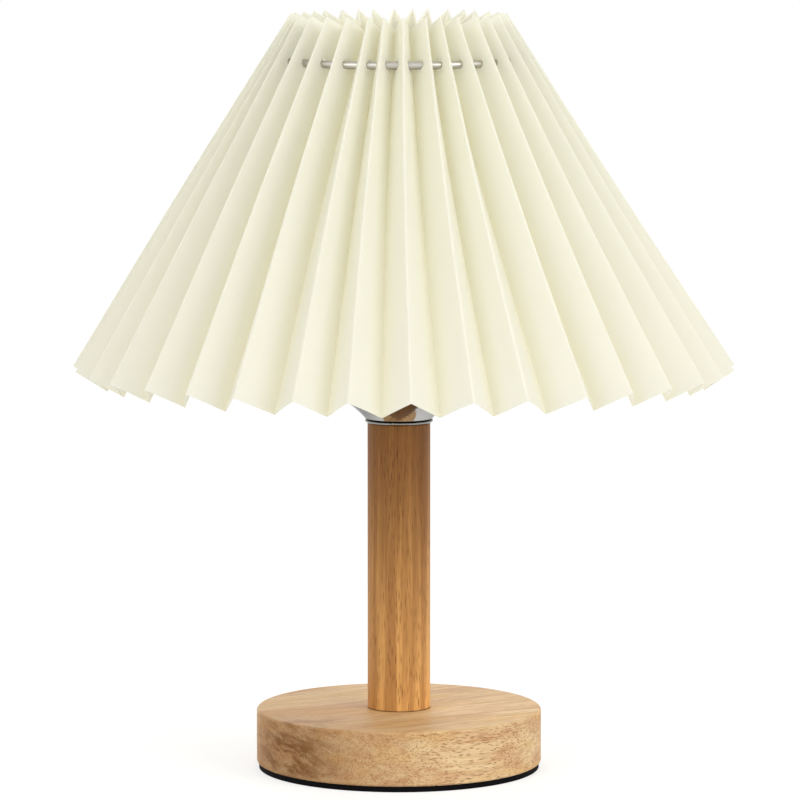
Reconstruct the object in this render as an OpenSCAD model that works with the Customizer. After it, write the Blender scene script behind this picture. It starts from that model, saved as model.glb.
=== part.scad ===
// Fabric table lamp: a pleated shade carried over a lamp bulb on a turned wooden stand.
// Millimetres, +Z up. The origin is on the desk, under the centre of the base, and the front faces -Y.

/* [Base] */
// Diameter of the wooden base disc
base_d = 130; // [116:1:160]
// Thickness of the wooden base disc
base_h = 24.8; // [22:0.1:36]
// Radius of the rounding on the base disc's edges
base_edge_r = 1.2; // [0.4:0.1:3]
// Thickness of the foam pad glued under the base
pad_t = 2.5; // [1.5:0.5:5]
// How far the pad's edge lies inside the base's edge
pad_inset = 1; // [0.5:0.5:5]
// Diameter of the recess for the nut under the base
nut_recess_d = 36; // [30:1:44]
// Depth of the recess for the nut
nut_recess_depth = 12.4; // [12:0.2:14]
// Height of the cord hole's axis above the underside of the wood
cord_axis_h = 7.8; // [7:0.1:7.8]
// Bore of the bush that the cord leaves through
cord_bore_d = 6.4; // [5:0.2:7]
// Wall of the cord bush
bush_wall = 1.7; // [1.2:0.1:2]
// Length of the cord bush's sleeve
bush_len = 9; // [6:1:14]

/* [Stand] */
// Diameter of the wooden post
post_d = 28.6; // [24:0.2:34]
// Length of the post that shows between the base and the collar
post_show_h = 131.4; // [90:0.1:200]
// Depth that the post sinks into the base
post_sink = 3; // [1:0.5:6]
// Outer diameter of the threaded tube that clamps the stand together
tube_d = 10; // [8:0.5:12]
// Wall of the threaded tube
tube_wall = 1.2; // [0.8:0.1:1.8]
// Diameter of the collar plate on top of the post
collar_d = 31.2; // [29:0.2:36]
// Thickness of the collar plate
collar_t = 1.4; // [1:0.1:2.5]

/* [Cup] */
// Diameter of the cup's foot
cup_foot_d = 30.2; // [26:0.2:34]
// Radius of the arc that the cup flares along
cup_flare_r = 40; // [30:1:50]
// Slope of the cup's wall at its foot, in degrees from upright
cup_foot_slope = 40; // [30:1:45]
// Slope of the cup's wall at its rim, in degrees from upright
cup_rim_slope = 70; // [60:1:75]
// Thickness of the cup's metal
cup_t = 0.8; // [0.5:0.1:1.2]
// Radius of the rolled bead round the cup's rim
cup_bead_r = 0.9; // [0.6:0.1:1.4]

/* [Lampholder] */
// Height from the cup nut to the shoulder that carries the shade
shoulder_h = 33.3; // [30:0.1:40]
// Outer diameter of the holder's smooth skirt
holder_d = 41; // [40:0.5:44]
// Diameter of the shoulder flange
flange_d = 50; // [47:0.5:52]
// Thickness of the shoulder flange
flange_t = 2.4; // [1.6:0.1:3.5]
// Height of the threaded mouth above the shoulder
mouth_h = 13.5; // [12:0.5:15]
// Mean diameter of the holder's outside thread
ring_thread_d = 38.6; // [38:0.2:39]
// Pitch of the holder's outside thread
ring_pitch = 2.5; // [2:0.1:3]
// Mean diameter of the bulb cap's thread
lamp_thread_d = 25.5; // [25:0.1:26]
// Pitch of the bulb cap's thread
lamp_pitch = 3.63; // [3.4:0.01:3.8]
// Height from crest to root of both threads
thread_depth = 0.95; // [0.7:0.05:1]
// Gap between a thread and the thread that turns on it
thread_gap = 0.3; // [0.25:0.05:0.35]

/* [Bulb] */
// Diameter of the bulb's globe
globe_d = 60; // [50:1:62]
// Length of the bulb from its contact to the top of its globe
bulb_h = 108; // [100:1:116]
// Radius of the bulb's housing where the globe sits on it
globe_seat_r = 22.4; // [20:0.2:24]
// Wall of the globe
globe_wall = 1.2; // [0.8:0.1:1.6]

/* [Shade carrier] */
// Thickness of the fitter ring
fitter_t = 1.5; // [1:0.1:2.5]
// Outer diameter of the fitter ring
fitter_d = 54; // [52:0.5:60]
// Diameter of the carrier's arms
arm_d = 2.4; // [1.6:0.1:2.6]
// Height from the fitter ring to the fingers that hold the hoop
arm_rise = 120.2; // [110:0.1:140]
// Diameter of the hoop's wire
hoop_wire_d = 3.6; // [3:0.1:3.8]
// Outer diameter of the grip ring that clamps the fitter ring
grip_ring_d = 44; // [43:0.5:45]
// Height of the grip ring
grip_ring_h = 7; // [5:0.5:9]

/* [Shade] */
// Diameter over the outer folds at the shade's lower edge
shade_bottom_d = 298; // [260:1:330]
// Diameter over the outer folds at the shade's upper edge
shade_top_d = 98; // [96:1:110]
// Height between the two ends of an outer fold
shade_h = 159.5; // [150:0.5:180]
// Number of pleats
pleats = 36; // [33:3:39]
// Depth of a pleat at the upper edge, square to the fold
pleat_depth_top = 13; // [12:0.5:15]
// Depth of a pleat at the lower edge, square to the fold
pleat_depth_bottom = 14.4; // [13:0.2:20]
// Thickness of the laminated fabric
fabric_t = 0.5; // [0.4:0.05:0.7]
// Distance of the punched holes from the upper edge, along the fold
hole_drop = 20.4; // [17:0.2:24]
// Distance of the punched holes inside the outer folds, square to them
hole_inset = 7.2; // [5:0.1:8]
// Width of the punched holes that the hoop runs through
hole_d = 4.9; // [4.7:0.1:5.4]

/* [Hidden] */

$fn = 96;
eps = 0.01;
fit = 0.1;             // gap between pieces that slip together and stay put

// Base
base_r = base_d / 2;
base_z = pad_t;
base_top = base_z + base_h;
recess_top = base_z + nut_recess_depth;
cord_z = base_z + cord_axis_h;
bush_r = cord_bore_d / 2 + bush_wall;
bush_lip = 1.3;
bush_flange_r = bush_r + bush_lip;
bush_flange_t = 1;
bush_seat_depth = 1.2;
bush_seat_y = base_r - bush_seat_depth;
bush_play = 0.5;       // room behind the sleeve of the bush
cord_play = 1;         // how much wider the cord's passage is than the bush's bore

// Stand
tube_r = tube_d / 2;
tube_bore_r = tube_r - tube_wall;
nut_wall = 2;
nut_af = tube_d + 2 * nut_wall;  // across flats
nut_corner = 0.8;      // width of the chamfer on the nut's corners
nut_corner_h = 0.5;
nut_h = 4;
washer_t = 1.6;
washer_w = 7;
base_nut_z = base_z + nut_recess_depth - washer_t - nut_h;
tube_tail = 1.4;       // how far the tube stands out of the nut under the base
post_bevel = 0.5;
post_play = 0.5;       // gap between the post's bore and the tube
post_r = post_d / 2;
post_z = base_top - post_sink;
post_top = base_top + post_show_h;
collar_top = post_top + collar_t;

// Cup
cup_foot_r = cup_foot_d / 2;
cup_floor = collar_top + cup_t;
cup_nut_top = cup_floor + nut_h;
cup_fillet = 0.6;

// Lampholder
shoulder_z = cup_nut_top + shoulder_h;
holder_r = holder_d / 2;
skirt_h = 11;
holder_joint_z = shoulder_z - skirt_h;
mouth_top = shoulder_z + mouth_h;
mouth_wall = 1.6;
thread_runout = 1;
ring_thread_r = ring_thread_d / 2;
sleeve_bore_r = ring_thread_r - thread_depth / 2 - mouth_wall;
core_h = 9;
core_drop = 12;        // from the shoulder down to the core's top
core_top = shoulder_z - core_drop;
core_z = core_top - core_h;
core_r = sleeve_bore_r - fit;
core_ledge_w = 1.2;
core_ledge_t = 1.2;
strip_w = 6;
strip_t = 0.6;
tab_len = 4.5;
shell_gap = 0.9;       // between the centre contact's strip and the screw shell
shell_z = core_top + strip_t + shell_gap;
shell_wall = 0.6;
shell_r = lamp_thread_d / 2 + thread_gap + thread_depth / 2 + shell_wall;
shell_floor_t = 0.8;
shell_hole_r = 8.5;
shell_edge = 1.5;      // how far the shell ends below the mouth
terminal_x = 9;
terminal_w = 6;
terminal_h = 6.4;
terminal_drop = 0.5;   // how far the terminals stand out below the core
wire_hole_r = 1.2;
terminal_screw_r = 1.35;
screw_head_r = 2.3;
screw_head_h = 1.4;
slot_w = 0.6;
slot_depth = 0.7;
tube_stand = 9;        // how far the tube reaches into the holder
tube_top = cup_nut_top + tube_stand;
boss_wall = 3.4;
boss_h = 4;
boss_r = tube_r + boss_wall;
grub_r = 1.5;
grub_edge = 0.6;
grub_z = cup_nut_top + grub_r + grub_edge;
cap_bevel = 1.2;
cap_dome_w = 5;
cap_dome_h = 3.5;
cap_lip = 1.5;         // from the cap's widest ring up to the core's underside

// Bulb
lamp_thread_r = lamp_thread_d / 2;
tip_lift = 2.2;
tip_z = core_top + tip_lift;
tip_r = 4.2;
tip_h = 1.6;
tip_edge_r = 1.2;
tip_seat = 0.4;
insulator_z = tip_z + tip_h;
insulator_h = 2.8;
insulator_step = 2.6;
cap_z = insulator_z + insulator_h;
cap_h = 20.5;
cap_top = cap_z + cap_h;
cap_wall = 0.6;
cap_bore_r = lamp_thread_r - thread_depth / 2 - cap_wall;
globe_r = globe_d / 2;
bulb_top = tip_z + bulb_h;
globe_z = bulb_top - globe_r;
seat_z = globe_z - sqrt(globe_r * globe_r - globe_seat_r * globe_seat_r);
board_t = 1.6;
board_z = seat_z - board_t;
board_inset = 1.5;
board_r = globe_seat_r - board_inset;
board_ledge = 1;
housing_wall = 1.6;
housing_lip = 0.8;
neck_h = 5;
neck_flare = 0.3;
chip_len = 3.5;
chip_w = 2.8;
chip_t = 0.7;
chip_inset = 7.5;

// Shade carrier
fitter_z = shoulder_z;
fitter_top = fitter_z + fitter_t;
fitter_play = 0.5;
fitter_bore_r = ring_thread_r + thread_depth / 2 + fitter_play;
slip_washer_t = 0.8;
slip_washer_inset = 0.3;
grip_z = fitter_top + slip_washer_t;
grip_r = grip_ring_d / 2;
grip_rib_w = 1.8;
grip_rib_h = 0.5;      // how far the ribs stand out
grip_rib_end = 0.6;    // how far the ribs end from the ring's faces
arm_r = arm_d / 2;
arm_foot_r = (grip_r + fitter_d / 2) / 2;
arm_foot_t = 1.2;
arm_foot_w = 4;
arm_foot_inset = 0.3;
elbow_gap = 0.6;       // between the hoop and the arm's elbow
finger_over = 1;       // how far the finger reaches past the hoop's middle
finger_z = fitter_top + arm_rise;
hoop_wire_r = hoop_wire_d / 2;
hoop_seat = 0.05;      // gap between the hoop and the fingers that it lies on
hoop_z = finger_z + arm_r + hoop_wire_r + hoop_seat;
hoop_joint = 0.3;      // gap between the hoop's ends
sleeve_wall = 0.3;
sleeve_fit = 0.02;

// Shade
slope = atan2((shade_bottom_d - shade_top_d) / 2, shade_h);  // of the outer folds, from upright
fold_len = norm([(shade_bottom_d - shade_top_d) / 2, shade_h]);
shade_top_r = shade_top_d / 2;
hoop_r = shade_top_r + hole_drop * sin(slope) - hole_inset * cos(slope);
shade_top_z = hoop_z + hole_drop * cos(slope) + hole_inset * sin(slope);
folds = 2 * pleats;
first_fold = -88.9;    // azimuth of the outer fold nearest the front
hole_band = 6;         // height of the fabric's plain strip below the holes
joint_azimuth = hole_azimuth(round(pleats / 2));  // where the hoop's ends meet

// Shapes used more than once

function arc(cx, cy, r, from, to, steps = 8) =
    [for (i = [0 : steps]) let (a = from + (to - from) * i / steps) [cx + r * cos(a), cy + r * sin(a)]];

// Flat ring from z to z + h.
module ring(outer, inner, z, h) {
    translate([0, 0, z]) difference() {
        cylinder(r = outer, h = h);
        translate([0, 0, -eps]) cylinder(r = inner, h = h + 2 * eps);
    }
}

// Hexagon nut with chamfered corners, bored for the threaded tube.
module hex_nut(z) {
    corner_r = nut_af / 2 / cos(30);
    translate([0, 0, z]) difference() {
        intersection() {
            cylinder(r = corner_r, h = nut_h, $fn = 6);
            rotate_extrude() polygon([
                [0, 0], [corner_r - nut_corner, 0], [corner_r, nut_corner_h],
                [corner_r, nut_h - nut_corner_h], [corner_r - nut_corner, nut_h], [0, nut_h]
            ]);
        }
        translate([0, 0, -eps]) cylinder(r = tube_r + fit / 2, h = nut_h + 2 * eps);
    }
}

// Solid screw from z0 to z1. Its radius is mean + half the depth times the cosine of
// the angle from the crest, and the crest climbs one pitch a turn, right-handed.
module screw(mean, pitch, z0, z1, sides = 24, per_turn = 8) {
    rows = ceil((z1 - z0) / pitch * per_turn);
    points = [
        for (j = [0 : rows], i = [0 : sides - 1])
        let (
            z = z0 + (z1 - z0) * j / rows,
            a = 360 * i / sides,
            r = mean + thread_depth / 2 * cos(a - 360 * z / pitch)
        )
        [r * cos(a), r * sin(a), z]
    ];
    skin = [
        for (j = [0 : rows - 1], i = [0 : sides - 1])
        let (
            a = j * sides + i,
            b = j * sides + (i + 1) % sides,
            c = b + sides,
            d = a + sides
        )
        each [[a, c, b], [a, d, c]]
    ];
    floor_face = [for (i = [0 : sides - 1]) i];
    top_face = [for (i = [sides - 1 : -1 : 0]) rows * sides + i];
    polyhedron(points, concat([floor_face, top_face], skin), convexity = 6);
}

// Base

module base_pad() {
    color("#161616") cylinder(r = base_r - pad_inset, h = pad_t);
}

module base_disc() {
    profile = concat(
        [[0, base_z]],
        arc(base_r - base_edge_r, base_z + base_edge_r, base_edge_r, -90, 0),
        arc(base_r - base_edge_r, base_top - base_edge_r, base_edge_r, 0, 90),
        [[0, base_top]]
    );
    color("#d9b07c") difference() {
        rotate_extrude() polygon(profile);
        translate([0, 0, post_z]) cylinder(r = post_r + fit, h = post_sink + eps);
        cylinder(r = tube_r + 2 * fit, h = base_top);
        translate([0, 0, base_z - eps]) cylinder(d = nut_recess_d, h = nut_recess_depth + eps);
        translate([0, 0, cord_z]) rotate([-90, 0, 0]) {
            cylinder(r = cord_bore_d / 2 + cord_play, h = base_r);
            translate([0, 0, bush_seat_y - bush_len - bush_play])
                cylinder(r = bush_r + fit / 2, h = bush_len + 2 * bush_play);
            translate([0, 0, bush_seat_y]) cylinder(r = bush_flange_r + 2 * fit, h = bush_len);
        }
    }
}

module cord_bush() {
    color("#222222") translate([0, bush_seat_y, cord_z]) rotate([-90, 0, 0]) difference() {
        union() {
            translate([0, 0, -bush_len]) cylinder(r = bush_r, h = bush_len);
            cylinder(r = bush_flange_r, h = bush_flange_t);
        }
        translate([0, 0, -bush_len - eps])
            cylinder(r = cord_bore_d / 2, h = bush_len + bush_flange_t + 2 * eps);
    }
}

module base_washer() {
    color("silver") ring(tube_r + washer_w, tube_r + fit, recess_top - washer_t, washer_t);
}

module base_nut() {
    color("silver") hex_nut(base_nut_z);
}

// Stand

module threaded_tube() {
    bottom = base_nut_z - tube_tail;
    color("silver") ring(tube_r, tube_bore_r, bottom, tube_top - bottom);
}

module post() {
    bore_r = tube_r + post_play;
    profile = [
        [bore_r, post_z], [post_r - post_bevel, post_z], [post_r, post_z + post_bevel],
        [post_r, post_top - post_bevel], [post_r - post_bevel, post_top], [bore_r, post_top]
    ];
    color("#b98250") rotate_extrude() polygon(profile);
}

module post_collar() {
    edge = collar_t / 2;
    profile = concat(
        [[tube_r + fit, post_top]],
        arc(collar_d / 2 - edge, post_top + edge, edge, -90, 90),
        [[tube_r + fit, collar_top]]
    );
    color("#d8d8da") rotate_extrude() polygon(profile);
}

// A point on the cup's wall where it slopes by a, set in by t from its underside.
function cup_point(a, t) = [
    cup_foot_r + cup_flare_r * (cos(cup_foot_slope) - cos(a)) - t * cos(a),
    collar_top + cup_flare_r * (sin(a) - sin(cup_foot_slope)) + t * sin(a)
];

module socket_cup() {
    steps = 14;
    slopes = [for (i = [0 : steps]) cup_foot_slope + (cup_rim_slope - cup_foot_slope) * i / steps];
    profile = concat(
        [[tube_r + fit, collar_top]],
        [for (a = slopes) cup_point(a, 0)],
        [for (i = [steps : -1 : 1]) cup_point(slopes[i], cup_t)],
        [[cup_foot_r - cup_fillet, cup_floor], [tube_r + fit, cup_floor]]
    );
    rim = cup_point(cup_rim_slope, cup_t / 2);
    color("#d8d8da") {
        rotate_extrude() polygon(profile);
        rotate_extrude() translate(rim) circle(r = cup_bead_r);
    }
}

module cup_nut() {
    color("silver") hex_nut(cup_floor);
}

// Lampholder

module holder_cap() {
    boss_top = cup_nut_top + boss_h;
    floor_top = boss_top + 2 * cap_lip;
    dome_top = core_z - cap_lip;
    inner = core_r + fit;
    ledge = inner - core_ledge_w;
    profile = [
        [tube_r + fit, cup_nut_top], [boss_r, cup_nut_top], [boss_r, boss_top],
        [holder_r - cap_dome_w, dome_top - cap_dome_h], [holder_r - cap_bevel, dome_top - cap_bevel],
        [holder_r, dome_top + cap_bevel], [holder_r, holder_joint_z], [inner, holder_joint_z],
        [inner, core_z], [ledge, core_z], [ledge, core_z - core_ledge_t],
        [ledge - 2 * core_ledge_w, dome_top - core_ledge_t], [boss_r + 4 * fit, floor_top],
        [tube_r + fit, floor_top]
    ];
    color("#eeeeea") difference() {
        rotate_extrude() polygon(profile);
        translate([0, 0, grub_z]) rotate([90, 0, 0]) cylinder(r = grub_r + fit, h = boss_r + 1);
    }
}

module holder_grub_screw() {
    length = boss_wall - 2 * fit;
    color("silver") translate([0, -tube_r - fit / 2, grub_z]) rotate([90, 0, 0]) difference() {
        cylinder(r = grub_r, h = length);
        translate([-2 * grub_r, -slot_w / 2, length - slot_depth]) cube([4 * grub_r, slot_w, 2 * slot_depth]);
    }
}

module holder_sleeve() {
    profile = [
        [sleeve_bore_r, holder_joint_z], [holder_r, holder_joint_z],
        [holder_r, shoulder_z - flange_t - thread_runout], [flange_d / 2, shoulder_z - flange_t],
        [flange_d / 2, shoulder_z], [ring_thread_r - thread_depth / 2, shoulder_z],
        [ring_thread_r - thread_depth / 2, shoulder_z + thread_runout],
        [sleeve_bore_r, shoulder_z + thread_runout]
    ];
    color("#eeeeea") {
        rotate_extrude() polygon(profile);
        difference() {
            screw(ring_thread_r, ring_pitch, shoulder_z + thread_runout, mouth_top);
            translate([0, 0, shoulder_z]) cylinder(r = sleeve_bore_r, h = 2 * mouth_h);
        }
    }
}

module holder_core() {
    pocket_w = terminal_w + 2 * fit;
    color("#f3f1ea") difference() {
        translate([0, 0, core_z]) cylinder(r = core_r, h = core_h);
        for (side = [-1, 1])
            translate([side * terminal_x - pocket_w / 2, -pocket_w / 2, core_z - eps])
                cube([pocket_w, pocket_w, terminal_h - terminal_drop + 2 * fit]);
    }
}

module centre_contact() {
    tongue_len = strip_w + strip_t;
    tongue_slope = 9;
    color("goldenrod") {
        translate([-terminal_x, -strip_w / 2, core_top]) cube([terminal_x + strip_w / 2, strip_w, strip_t]);
        translate([-strip_w / 2, -strip_w / 2, core_top + strip_t - fit / 2]) rotate([0, -tongue_slope, 0])
            cube([tongue_len, strip_w, strip_t]);
    }
}

module shell_tab() {
    color("goldenrod") translate([terminal_x, -strip_w / 2, core_top])
        cube([tab_len, strip_w, shell_z - core_top]);
}

module terminal_blocks() {
    color("goldenrod") for (side = [-1, 1]) translate([side * terminal_x, 0, core_z - terminal_drop])
        difference() {
            translate([-terminal_w / 2, -terminal_w / 2, 0]) cube([terminal_w, terminal_w, terminal_h]);
            translate([0, terminal_w, terminal_h / 3]) rotate([90, 0, 0])
                cylinder(r = wire_hole_r, h = 2 * terminal_w);
            translate([0, 0, -eps]) cylinder(r = terminal_screw_r + fit / 2, h = terminal_h / 4);
        }
}

module terminal_screws() {
    color("silver") for (side = [-1, 1]) translate([side * terminal_x, 0, core_z - terminal_drop])
        difference() {
            union() {
                translate([0, 0, -screw_head_h]) cylinder(r = screw_head_r, h = screw_head_h);
                cylinder(r = terminal_screw_r, h = terminal_h / 8);
            }
            translate([-2 * screw_head_r, -slot_w / 2, -screw_head_h - eps])
                cube([4 * screw_head_r, slot_w, slot_depth + eps]);
        }
}

module screw_shell() {
    shell_top = mouth_top - shell_edge;
    color("#cfc8b0") difference() {
        translate([0, 0, shell_z]) cylinder(r = shell_r, h = shell_top - shell_z);
        screw(lamp_thread_r + thread_gap, lamp_pitch, shell_z + shell_floor_t, shell_top + thread_runout);
        translate([0, 0, shell_z - shell_floor_t]) cylinder(r = shell_hole_r, h = 3 * shell_floor_t);
    }
}

// Bulb

module bulb_contact() {
    profile = concat(
        [[0, tip_z]],
        arc(tip_r - tip_edge_r, tip_z + tip_edge_r, tip_edge_r, -90, 0),
        [[tip_r, insulator_z + tip_seat], [0, insulator_z + tip_seat]]
    );
    color("#c9c9cc") rotate_extrude() polygon(profile);
}

module bulb_insulator() {
    inner = tip_r + fit / 2;
    outer = cap_bore_r - fit / 2;
    seat = insulator_z + tip_seat + fit / 2;
    profile = [
        [inner, insulator_z], [cap_bore_r - insulator_step, insulator_z + tip_seat],
        [outer, cap_z + cap_wall], [outer, cap_z + tip_lift], [0, cap_z + tip_lift], [0, seat], [inner, seat]
    ];
    color("#1d1d22") rotate_extrude() polygon(profile);
}

module bulb_cap() {
    color("#c9c9cc") difference() {
        screw(lamp_thread_r, lamp_pitch, cap_z, cap_top);
        translate([0, 0, cap_z - thread_runout]) cylinder(r = cap_bore_r, h = 2 * cap_h);
    }
}

module bulb_housing() {
    neck_r = lamp_thread_r + thread_depth;
    flare_r = neck_r + neck_flare;
    flare_z = cap_top + neck_h;
    plug_z = cap_top - neck_h / 2;
    plug_r = cap_bore_r - fit;
    plug_bore_r = plug_r - housing_lip;
    profile = [
        [plug_bore_r, plug_z], [plug_r, plug_z], [plug_r, cap_top], [neck_r, cap_top],
        [flare_r, flare_z], [globe_seat_r, seat_z], [board_r + fit, seat_z], [board_r + fit, board_z],
        [board_r - board_ledge, board_z], [board_r - 2 * board_ledge, board_z - housing_wall],
        [flare_r - housing_wall, flare_z], [plug_bore_r, cap_top + housing_wall]
    ];
    color("#f4f4f2") rotate_extrude() polygon(profile);
}

module led_board() {
    color("#e8e8e8") translate([0, 0, board_z]) cylinder(r = board_r, h = board_t);
}

module led_chips() {
    chips = 8;
    color("#f1d34a") for (i = [0 : chips - 1])
        rotate([0, 0, 360 * i / chips]) translate([board_r - chip_inset, -chip_w / 2, seat_z])
            cube([chip_len, chip_w, chip_t]);
}

module bulb_globe() {
    inner = globe_r - globe_wall;
    drop = asin((globe_z - seat_z) / globe_r);
    inner_drop = asin((globe_z - seat_z) / inner);
    profile = concat(
        arc(0, globe_z, globe_r, -drop, 90, 24),
        arc(0, globe_z, inner, 90, -inner_drop, 24)
    );
    color("#fbfaf4") rotate_extrude() polygon(profile);
}

// Shade carrier

module fitter_ring() {
    color("#d0d0d0") ring(fitter_d / 2, fitter_bore_r, fitter_z, fitter_t);
}

module slip_washer() {
    color("#d0d0d0") ring(grip_r - slip_washer_inset, fitter_bore_r, fitter_top, slip_washer_t);
}

module grip_ring() {
    ribs = 32;
    color("#eeeeea") difference() {
        union() {
            translate([0, 0, grip_z]) cylinder(r = grip_r - grip_rib_h, h = grip_ring_h);
            for (i = [0 : ribs - 1]) rotate([0, 0, 360 * i / ribs])
                translate([grip_r - 2 * grip_rib_h, -grip_rib_w / 2, grip_z + grip_rib_end])
                    cube([2 * grip_rib_h, grip_rib_w, grip_ring_h - 2 * grip_rib_end]);
        }
        screw(
            ring_thread_r + thread_gap, ring_pitch,
            grip_z - thread_runout, grip_z + grip_ring_h + thread_runout
        );
    }
}

// One arm: a welded foot, a leaning leg and the finger that the hoop lies on,
// under outer fold k so that the finger reaches into that pleat.
module carrier_arm(k) {
    foot_len = fitter_d / 2 - grip_r - 2 * arm_foot_inset;
    leg_z = fitter_top + arm_foot_t / 2;
    elbow_r = hoop_r - hoop_wire_r - arm_r - elbow_gap;
    rise = finger_z - leg_z;
    run = elbow_r - arm_foot_r;
    finger_len = hoop_r + finger_over - elbow_r;
    color("#d0d0d0") rotate([0, 0, hole_azimuth(k)]) {
        translate([grip_r + arm_foot_inset, -arm_foot_w / 2, fitter_top])
            cube([foot_len, arm_foot_w, arm_foot_t]);
        translate([arm_foot_r, 0, leg_z]) rotate([0, atan2(run, rise), 0])
            cylinder(r = arm_r, h = norm([run, rise]), $fn = 32);
        translate([elbow_r, 0, finger_z]) sphere(r = arm_r, $fn = 32);
        translate([elbow_r, 0, finger_z]) rotate([0, 90, 0])
            cylinder(r = arm_r, h = finger_len, $fn = 32);
    }
}

module arm_front() { carrier_arm(0); }
module arm_right() { carrier_arm(pleats / 3); }
module arm_left() { carrier_arm(2 * pleats / 3); }

module shade_hoop() {
    gap = 360 * hoop_joint / (2 * PI * hoop_r);
    color("#dcdcdc") translate([0, 0, hoop_z]) rotate([0, 0, joint_azimuth + gap / 2])
        rotate_extrude(angle = 360 - gap) translate([hoop_r, 0]) circle(r = hoop_wire_r, $fn = 32);
}

module hoop_sleeve() {
    span = 3;
    color("#dcdcdc") translate([0, 0, hoop_z]) rotate([0, 0, joint_azimuth - span / 2])
        rotate_extrude(angle = span) translate([hoop_r, 0]) difference() {
            circle(r = hoop_wire_r + sleeve_wall, $fn = 32);
            circle(r = hoop_wire_r + sleeve_fit, $fn = 32);
        }
}

// Pleated shade
// The fabric is folded into straight pleats. Fold i is an outer fold where i is even
// and an inner fold where it is odd. u runs from 0 at the upper edge to 1 at the lower
// one, and v from 0 at fold i to 1 at fold i + 1.

// Pleat k counted from the front, from -pleats/2 to pleats/2.
function from_front(k) = (k + 1.5 * pleats) % pleats - pleats / 2;

// How far the gathered upper edge pulls outer fold k round, in degrees.
function gather(k) = let (n = from_front(k))
    1.9 + 1.3 * cos(120 * (n + 2))
    - 9 * exp(-pow((n + 5.6) / 1.6, 2))
    + 4 * exp(-pow((n - 6.5) / 1.8, 2));

// How far outer fold k wanders at the loose lower edge, in degrees.
function wander(k) = 0.45 * sin(137 * from_front(k));

function outer_top(k) = first_fold + 360 * k / pleats + gather(k);
function outer_bottom(k) = first_fold + 360 * k / pleats + wander(k);
function azimuth_top(i) = i % 2 == 0 ? outer_top(i / 2)
    : (outer_top((i - 1) / 2) + outer_top((i + 1) / 2)) / 2 - 0.5 - 0.6 * cos(60 * (i - 1));
function azimuth_bottom(i) = i % 2 == 0 ? outer_bottom(i / 2)
    : (outer_bottom((i - 1) / 2) + outer_bottom((i + 1) / 2)) / 2;

function depth(u) = pleat_depth_top + (pleat_depth_bottom - pleat_depth_top) * u;
function fold_radius(u) = shade_top_r + u * fold_len * sin(slope);
function half_pitch(u) = PI * (fold_radius(u) - depth(u) / 2 * cos(slope)) / pleats;
// Distance from the middle of the fabric to its skin, measured across the fold.
function skin(u) = fabric_t / 2 / sin(atan2(half_pitch(u), depth(u)));

// Point at azimuth a, off from the outer fold line by out, square to it.
function cone_point(a, u, out) = let (r = fold_radius(u) + out * cos(slope))
    [r * cos(a), r * sin(a), shade_top_z - u * fold_len * cos(slope) + out * sin(slope)];
function cone_normal(a) = [cos(slope) * cos(a), cos(slope) * sin(a), sin(slope)];

// Point on fold i, on the outer skin where side is 1 and the inner skin where it is -1.
function fold_point(i, u, side) = let (
        top = cone_point(azimuth_top(i), 0, -(i % 2) * depth(0)),
        bottom = cone_point(azimuth_bottom(i), 1, -(i % 2) * depth(1)),
        normal = (1 - u) * cone_normal(azimuth_top(i)) + u * cone_normal(azimuth_bottom(i))
    )
    (1 - u) * top + u * bottom + side * skin(u) * normal;

function panel_point(i, u, v, side) =
    (1 - v) * fold_point(i, u, side) + v * fold_point(i + 1, u, side);

// Azimuth of outer fold k at the height of the holes.
function hole_azimuth(k) = let (p = fold_point(2 * k, hole_drop / fold_len, 0)) atan2(p[1], p[0]);

// Corner q of the hole in the panel after fold i, clockwise from the upper one at fold i.
// The hole's walls run the way the hoop does.
function hole_point(i, q, side) = let (
        u = (hole_drop + (q < 2 ? -1 : 1) * hole_d / 2) / fold_len,
        out = hole_inset + side * skin(u) + (q % 3 == 0 ? -1 : 1) * (i % 2 == 0 ? 1 : -1) * hole_d / 2,
        v = out / depth(u)
    )
    panel_point(i, u, i % 2 == 0 ? v : 1 - v, side);

levels = [0, (hole_drop + hole_d / 2 + hole_band) / fold_len, 1];

// Where the points stand in the shade's list.
function at(j, i, side) = (j * folds + i % folds) * 2 + (side > 0 ? 0 : 1);
function at_hole(i, q, side) = (len(levels) * folds + i * 4 + q % 4) * 2 + (side > 0 ? 0 : 1);

// The two triangles of a four-sided face that is seen clockwise from a to d on the outer
// skin, turned over for the inner one.
function quad(side, a, b, c, d) = side > 0 ? [[a, b, c], [a, c, d]] : [[a, c, b], [a, d, c]];

module pleated_shade() {
    points = concat(
        [for (u = levels, i = [0 : folds - 1], side = [1, -1]) fold_point(i, u, side)],
        [for (i = [0 : folds - 1], q = [0 : 3], side = [1, -1]) hole_point(i, q, side)]
    );
    last = len(levels) - 1;
    pierced = [
        for (i = [0 : folds - 1], side = [1, -1], n = [0 : 3])
        let (corner = [at(0, i, side), at(0, i + 1, side), at(1, i + 1, side), at(1, i, side)])
        each quad(side, corner[n], corner[(n + 1) % 4], at_hole(i, n + 1, side), at_hole(i, n, side))
    ];
    plain = [
        for (j = [1 : last - 1], i = [0 : folds - 1], side = [1, -1])
        each quad(side, at(j, i, side), at(j, i + 1, side), at(j + 1, i + 1, side), at(j + 1, i, side))
    ];
    hole_walls = [
        for (i = [0 : folds - 1], q = [0 : 3])
        each quad(1, at_hole(i, q, 1), at_hole(i, q + 1, 1), at_hole(i, q + 1, -1), at_hole(i, q, -1))
    ];
    edges = [
        for (i = [0 : folds - 1], lower = [0, 1]) let (j = lower * last)
        each quad(1 - 2 * lower, at(j, i, -1), at(j, i + 1, -1), at(j, i + 1, 1), at(j, i, 1))
    ];
    color("#f4efdc") polyhedron(points, concat(pierced, plain, hole_walls, edges), convexity = 20);
}

// Assembly

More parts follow.
